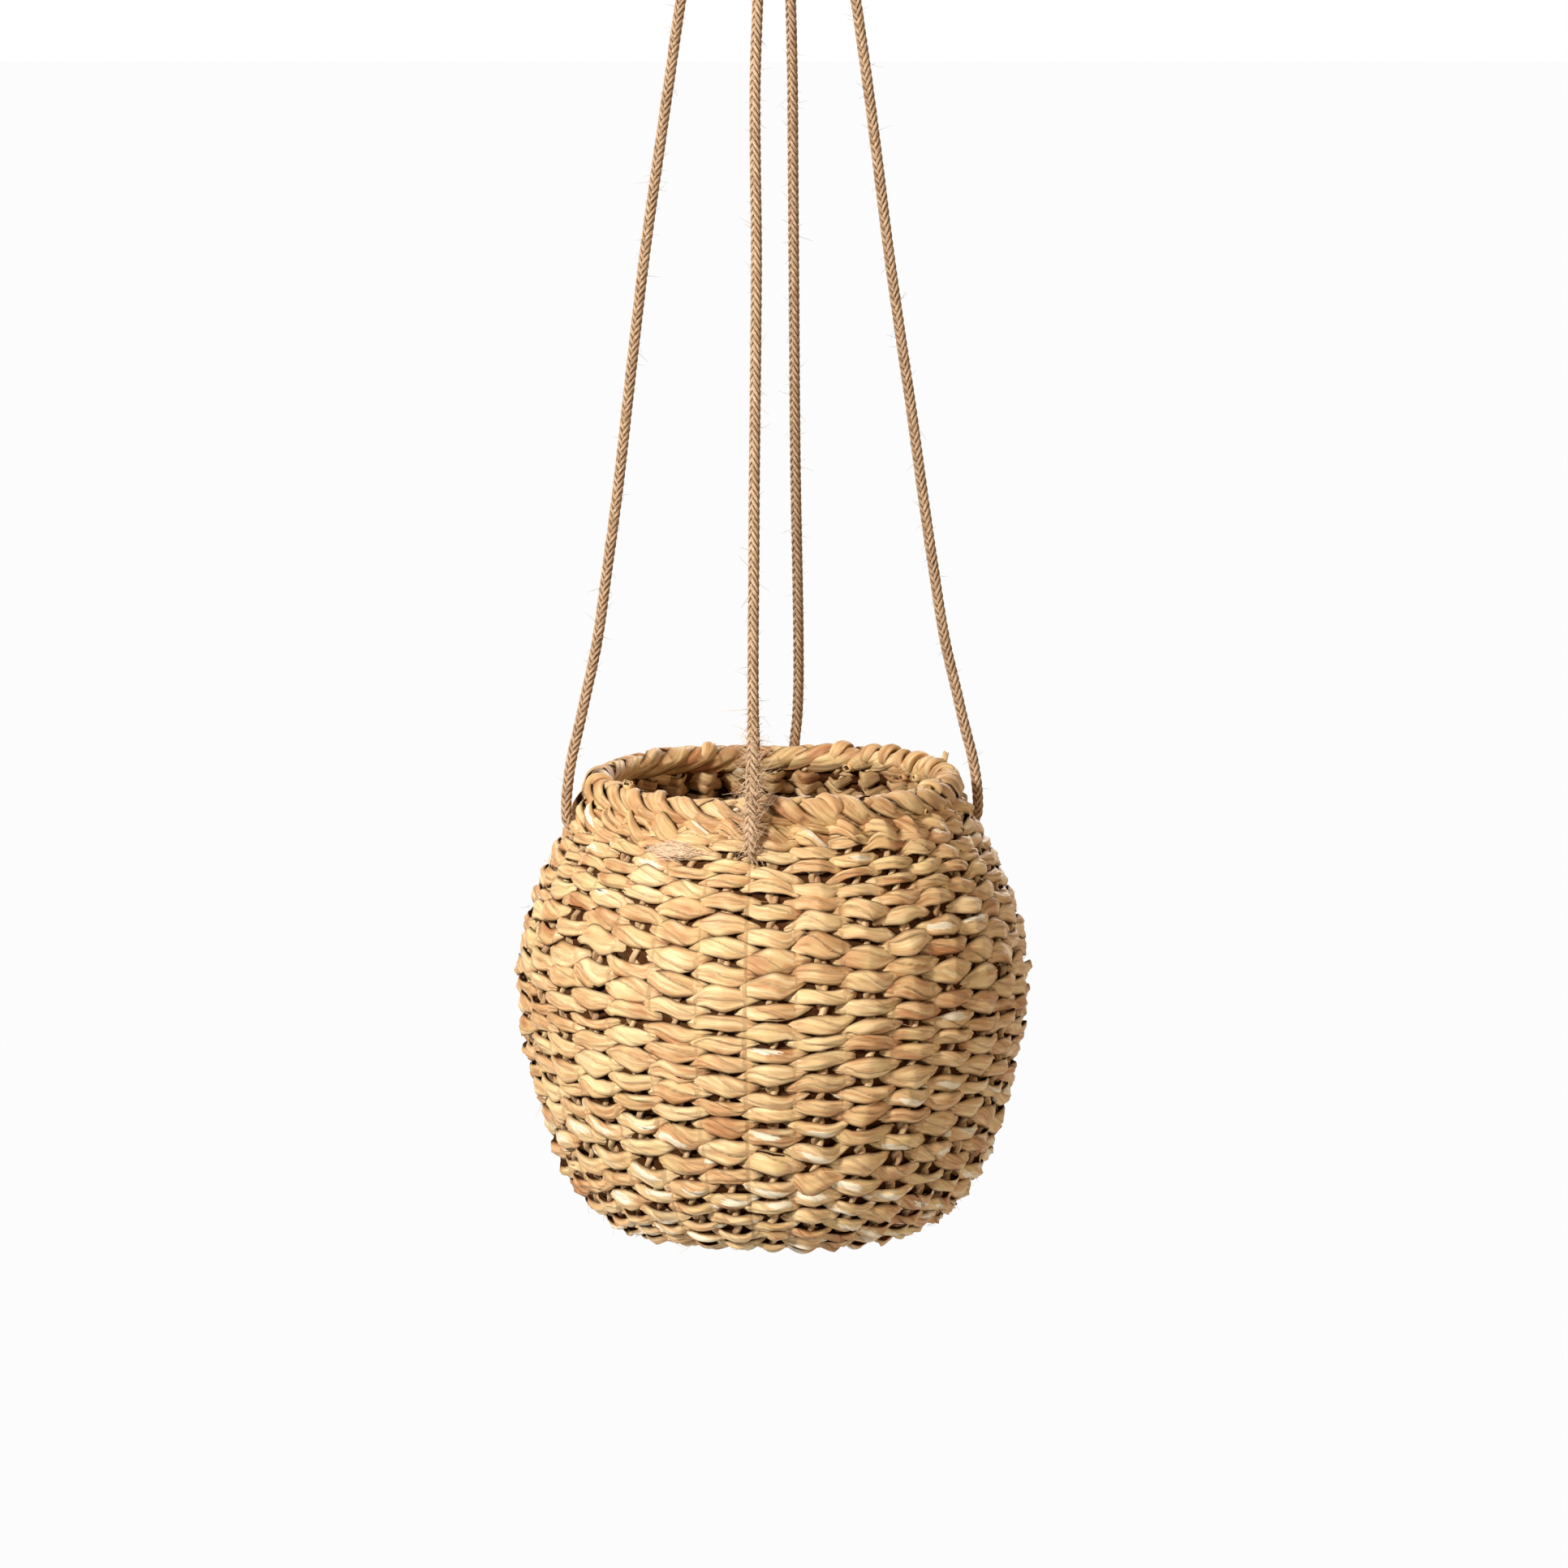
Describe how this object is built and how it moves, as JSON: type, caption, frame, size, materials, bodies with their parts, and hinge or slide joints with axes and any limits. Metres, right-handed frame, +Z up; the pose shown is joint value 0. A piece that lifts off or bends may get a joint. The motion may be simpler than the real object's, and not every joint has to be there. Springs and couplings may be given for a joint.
{
  "type": "hanging basket",
  "caption": "Round-bellied basket woven from dried grass, hung on braided jute cords from a loop; holds a pot or small things.",
  "frame": {"origin": "hook point: the inside of the top of the hanging loop", "axes": "+Z up along the suspension, -Y the pictured front, +X to the right seen from the front"},
  "size_m": [0.25, 0.25, 0.895],
  "materials": {
    "woven_grass": "dry satin, flattened grass strands",
    "grass_stakes": "dry matte, twisted grass",
    "grass_border": "dry satin, rope of flattened grass",
    "jute_cord": "fibrous braid",
    "jute_knots": "fibrous knotted cord"
  },
  "bodies": {
    "hook_loop": {"hanging_loop": "jute_cord"},
    "gather": {"gather_knot": "jute_knots"},
    "whipped_bundle": {"whipping": "jute_knots"},
    "basket": {"border_rope": "grass_border", "border_lower_twist": "grass_border", "weft_row_01": "woven_grass", "weft_row_02": "woven_grass", "weft_row_03": "woven_grass", "weft_row_04": "woven_grass", "weft_row_05": "woven_grass", "weft_row_06": "woven_grass", "weft_row_07": "woven_grass", "weft_row_08": "woven_grass", "weft_row_09": "woven_grass", "weft_row_10": "woven_grass", "weft_row_11": "woven_grass", "weft_row_12": "woven_grass", "weft_row_13": "woven_grass", "weft_row_14": "woven_grass", "weft_row_15": "woven_grass", "weft_row_16": "woven_grass", "weft_row_17": "woven_grass", "weft_row_18": "woven_grass", "weft_row_19": "woven_grass", "weft_row_20": "woven_grass", "weft_row_21": "woven_grass", "inner_weave_band_1": "woven_grass", "inner_weave_band_2": "woven_grass", "inner_weave_band_3": "woven_grass", "base_round_1": "woven_grass", "base_round_2": "woven_grass", "base_round_3": "woven_grass", "floor_round_1": "woven_grass", "floor_round_2": "woven_grass", "stake_01": "grass_stakes", "stake_02": "grass_stakes", "stake_03": "grass_stakes", "stake_04": "grass_stakes", "stake_05": "grass_stakes", "stake_06": "grass_stakes", "stake_07": "grass_stakes", "stake_08": "grass_stakes", "stake_09": "grass_stakes", "stake_10": "grass_stakes", "stake_11": "grass_stakes", "stake_12": "grass_stakes", "stake_13": "grass_stakes", "stake_14": "grass_stakes", "stake_15": "grass_stakes", "stake_16": "grass_stakes", "cord_left": "jute_cord", "cord_front": "jute_cord", "cord_right": "jute_cord", "cord_back": "jute_cord", "stopper_knot_left": "jute_knots", "stopper_knot_front": "jute_knots", "stopper_knot_right": "jute_knots", "stopper_knot_back": "jute_knots", "frayed_cord_end": "jute_knots"}
  },
  "joints": [
    {"name": "loop_twist", "type": "hinge", "parent": "hook_loop", "child": "gather", "pos_m": [0, 0, -0.047], "axis": [0, 0, 1], "range_deg": [-90, 90], "stiffness_Nm_per_rad": 0.002},
    {"name": "swing_fore_aft", "type": "hinge", "parent": "gather", "child": "whipped_bundle", "pos_m": [0, 0, -0.047], "axis": [1, 0, 0], "range_deg": [-25, 25]},
    {"name": "swing_sideways", "type": "hinge", "parent": "whipped_bundle", "child": "basket", "pos_m": [0, 0, -0.0695], "axis": [0, 1, 0], "range_deg": [-25, 25]}
  ]
}
